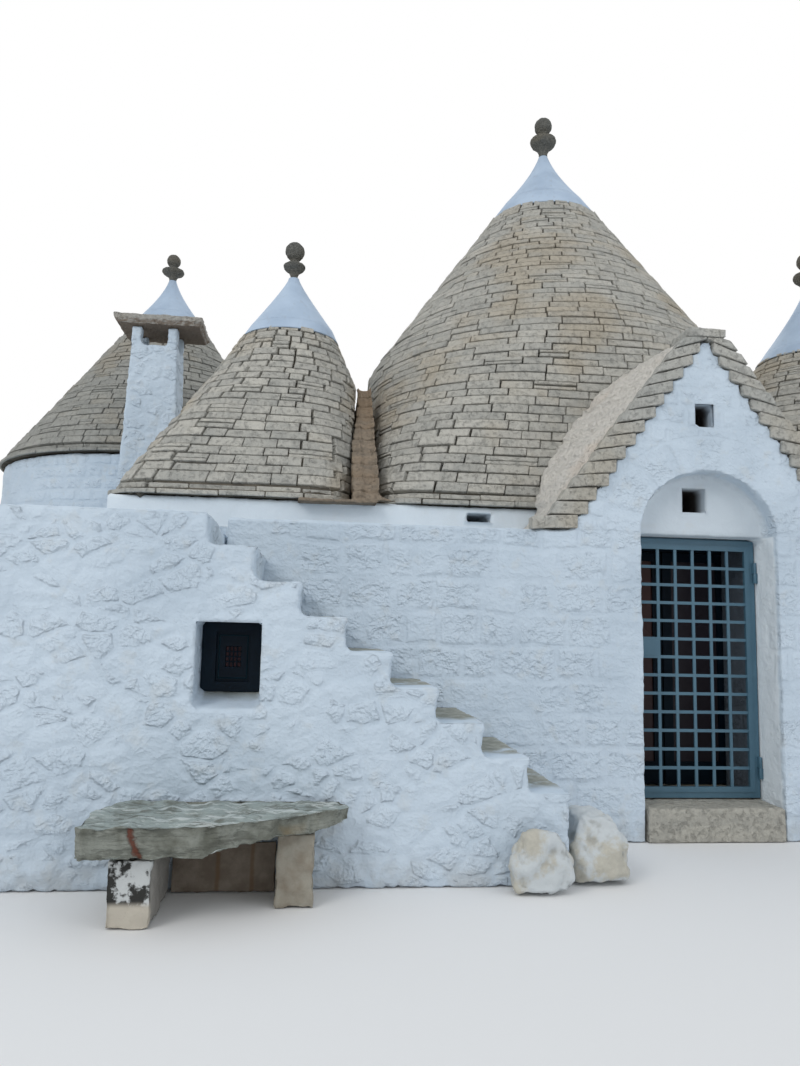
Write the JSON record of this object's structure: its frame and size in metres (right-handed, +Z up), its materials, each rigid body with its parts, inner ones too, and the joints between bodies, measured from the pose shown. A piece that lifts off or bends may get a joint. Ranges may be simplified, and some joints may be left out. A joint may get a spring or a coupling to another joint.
{
  "type": "trullo house",
  "caption": "Whitewashed stone trullo with dry-stone cone roofs, a gabled doorway with a grille gate, an outside stair, a chimney and a stone bench.",
  "frame": {"origin": "ground level under the middle of the doorway, on the outer face of the entrance wall", "axes": "+X right along the facade, +Y into the house, +Z up"},
  "size_m": [12.5, 10.45, 8.115],
  "materials": {
    "whitewashed_rubble": "rough limewash over rubble, with soft lumps and hairline cracks",
    "dry_limestone": "split dry-laid slabs, weathered, with dark open joints",
    "cap_plaster": "smooth trowelled plaster",
    "finial_stone": "turned stone with lichen",
    "warm_mortar": "rough beige mortar",
    "verge_limestone": "split slabs with worn edges",
    "bench_stone": "grey-green cleft stone with a rust seam",
    "bench_block": "worn blocks with flaking wash",
    "worn_limestone": "worn, foot-polished limestone",
    "floor_stone": "worn flagstones",
    "painted_steel": "satin blue-grey paint with small chips",
    "dark_joinery": "satin dark blue paint",
    "tinted_glass": "clear pane that looks brown against the dark room"
  },
  "bodies": {
    "house": {"back_drum": "whitewashed_rubble", "back_wall_front": "whitewashed_rubble", "back_wall_rear": "whitewashed_rubble", "back_wall_right": "whitewashed_rubble", "bench_back": "bench_block", "bench_legs": "bench_block", "bench_slab": "bench_stone", "chimney_shaft": "whitewashed_rubble", "chimney_slab": "verge_limestone", "door_frame": "dark_joinery", "door_lintel": "whitewashed_rubble", "end_wall_front": "whitewashed_rubble", "end_wall_rear": "whitewashed_rubble", "end_wall_right": "whitewashed_rubble", "entrance_wall_left": "whitewashed_rubble", "entrance_wall_right": "whitewashed_rubble", "finials": "finial_stone", "flank_wall": "whitewashed_rubble", "floor": "floor_stone", "gable_roof": "warm_mortar", "gable_wall": "whitewashed_rubble", "gate_frame": "painted_steel", "gutter": "warm_mortar", "left_wall": "whitewashed_rubble", "main_wall_front_left": "whitewashed_rubble", "main_wall_front_right": "whitewashed_rubble", "main_wall_left": "whitewashed_rubble", "main_wall_rear": "whitewashed_rubble", "main_wall_right": "whitewashed_rubble", "ridge_slab": "verge_limestone", "roof_back": "dry_limestone", "roof_caps": "cap_plaster", "roof_end": "dry_limestone", "roof_main": "dry_limestone", "roof_small": "dry_limestone", "small_wall_front": "whitewashed_rubble", "small_wall_left": "whitewashed_rubble", "small_wall_rear": "whitewashed_rubble", "small_wall_right": "whitewashed_rubble", "stair_boulders": "whitewashed_rubble", "stair_core": "whitewashed_rubble", "stair_treads": "worn_limestone", "terrace_deck": "whitewashed_rubble", "threshold": "worn_limestone", "verge_slabs": "verge_limestone", "window_frame": "dark_joinery", "window_panel": "dark_joinery"},
    "gate": {"gate_leaf": "painted_steel", "gate_lock": "painted_steel"},
    "door_left": {"door_leaf_left": "dark_joinery", "door_glass_left": "tinted_glass"},
    "door_right": {"door_leaf_right": "dark_joinery", "door_glass_right": "tinted_glass"}
  },
  "joints": [
    {"name": "gate_hinge", "type": "hinge", "parent": "house", "child": "gate", "pos_m": [0.526, 0.288, 0], "axis": [0, 0, 1], "range_deg": [0, 90]},
    {"name": "door_left_hinge", "type": "hinge", "parent": "house", "child": "door_left", "pos_m": [-0.596, 0.969, 0], "axis": [0, 0, 1], "range_deg": [0, 90]},
    {"name": "door_right_hinge", "type": "hinge", "parent": "house", "child": "door_right", "pos_m": [0.596, 0.969, 0], "axis": [0, 0, -1], "range_deg": [0, 90]}
  ]
}
